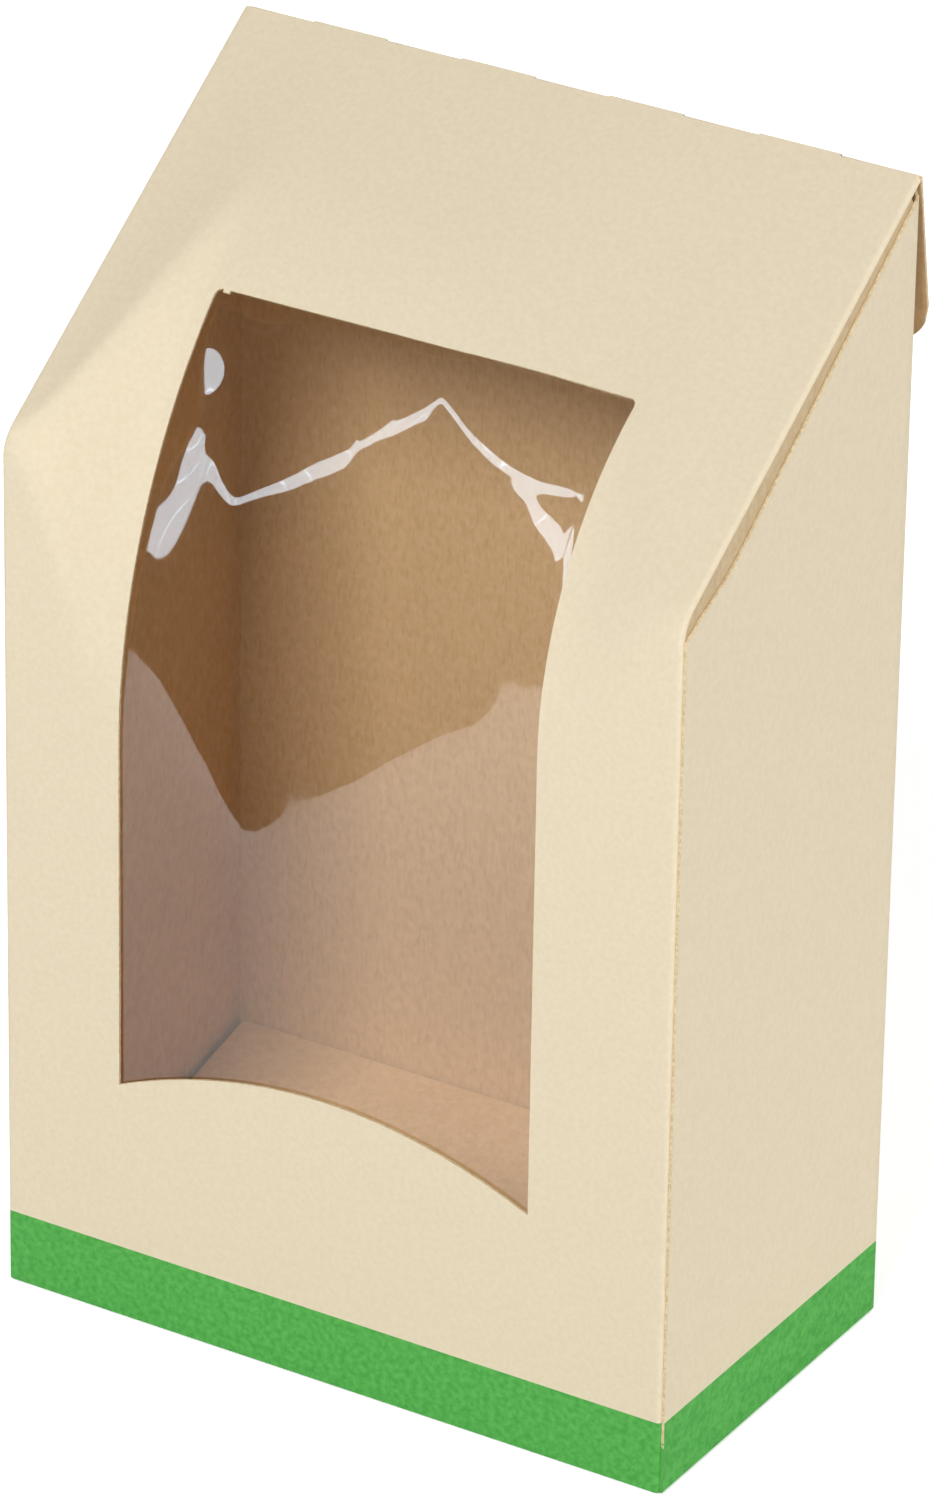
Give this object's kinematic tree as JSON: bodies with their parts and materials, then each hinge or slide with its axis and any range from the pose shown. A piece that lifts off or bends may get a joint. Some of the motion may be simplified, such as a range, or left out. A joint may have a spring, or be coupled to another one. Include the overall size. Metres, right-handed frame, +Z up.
{
  "type": "paper sandwich box",
  "caption": "Tall folded paperboard sandwich box with a sloping lid, a clear film window over the front bend, and a closing flap down the back.",
  "frame": {"origin": "centre of the base, on the surface that the box stands on", "axes": "+X to the right across the width, -Y out of the front with the window, +Z up"},
  "size_m": [0.1, 0.0607, 0.1624],
  "materials": {
    "board": "matt uncoated kraft board, printed cream outside with a green band at the foot, bare brown inside",
    "film": "thin clear glossy film"
  },
  "bodies": {
    "carton": {"carton": "board", "window_film": "film"},
    "closure_flap": {"closure_flap": "board"}
  },
  "joints": [
    {"name": "closure_flap_hinge", "type": "hinge", "parent": "carton", "child": "closure_flap", "pos_m": [0, 0.02851, 0.16204], "axis": [1, 0, 0], "range_deg": [-8, 114]}
  ]
}
